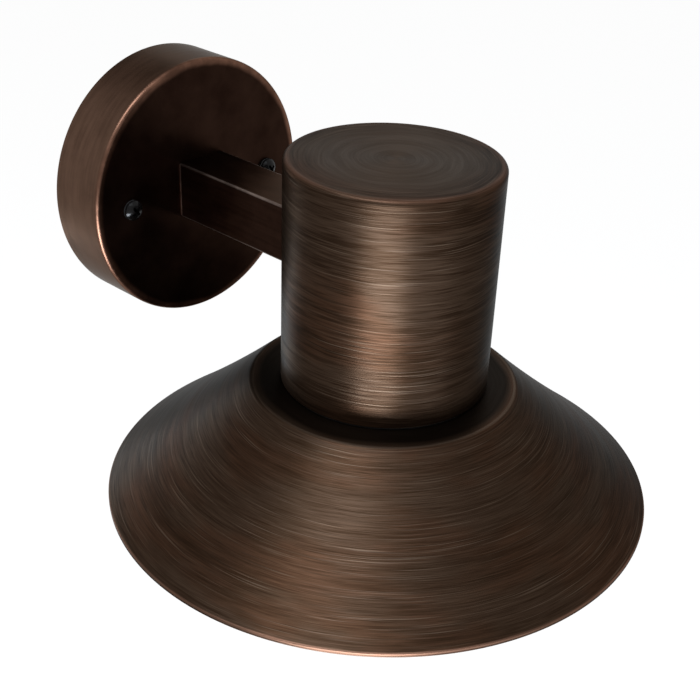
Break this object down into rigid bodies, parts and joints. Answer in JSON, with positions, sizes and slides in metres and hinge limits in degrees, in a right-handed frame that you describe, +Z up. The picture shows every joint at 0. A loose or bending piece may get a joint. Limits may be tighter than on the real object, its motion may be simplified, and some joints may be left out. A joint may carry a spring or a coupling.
{
  "type": "outdoor wall lamp",
  "caption": "Bronze wall lamp: a round wall plate and square arm carry a brushed cylinder over a flared shade that throws light down.",
  "frame": {"origin": "on the wall, on the bracket's back face, midway between left and right and at the height of the arm's axis", "axes": "+Y into the wall, so the lamp stands out along -Y; +Z up; +X to the right as seen from the front"},
  "size_m": [0.234, 0.259, 0.1594],
  "materials": {
    "brushed_bronze": "antique bronze, brushed in fine rings",
    "satin_bronze": "antique bronze, satin",
    "black_screw": "gloss black",
    "zinc_steel": "zinc plated",
    "black_rubber": "matt",
    "bare_brass": "bare",
    "white_porcelain": "glazed",
    "terminal_plastic": "moulded",
    "brown_insulation": "extruded",
    "blue_insulation": "extruded",
    "green_insulation": "extruded, green and yellow",
    "frosted_globe": "frosted",
    "bulb_collar_plastic": "moulded",
    "cap_metal": "rolled",
    "black_insulator": "glossy"
  },
  "bodies": {
    "lamp": {"lamp_cylinder": "brushed_bronze", "shade": "brushed_bronze", "wall_plate": "satin_bronze", "arm": "satin_bronze", "plate_screws": "black_screw", "wall_bracket": "zinc_steel", "bracket_bushes": "zinc_steel", "arm_root_plate": "zinc_steel", "arm_root_screws": "zinc_steel", "arm_root_block": "zinc_steel", "arm_end_block": "zinc_steel", "arm_saddle": "zinc_steel", "arm_end_screws": "zinc_steel", "bridge_studs": "zinc_steel", "bridge_nuts": "zinc_steel", "lampholder_bridge": "zinc_steel", "lampholder_screws": "zinc_steel", "shade_ring": "zinc_steel", "shade_screws": "zinc_steel", "terminal_fixing_screw": "zinc_steel", "wall_gasket": "black_rubber", "plate_screw_seals": "black_rubber", "root_grommet": "black_rubber", "end_grommet": "black_rubber", "shade_seal": "black_rubber", "earth_screws": "bare_brass", "earth_tags": "bare_brass", "terminal_screws": "bare_brass", "lampholder_shell": "bare_brass", "lampholder_contact": "bare_brass", "lampholder_body": "white_porcelain", "terminal_block": "terminal_plastic", "live_wire": "brown_insulation", "neutral_wire": "blue_insulation", "earth_wire": "green_insulation"},
    "bulb": {"bulb_globe": "frosted_globe", "bulb_collar": "bulb_collar_plastic", "bulb_cap": "cap_metal", "bulb_insulator": "black_insulator", "bulb_contact": "bare_brass"}
  },
  "joints": [
    {"name": "bulb_unscrew", "type": "hinge", "parent": "lamp", "child": "bulb", "pos_m": [0, -0.142, 0], "axis": [0, 0, -1], "range_deg": [0, 1080]}
  ]
}
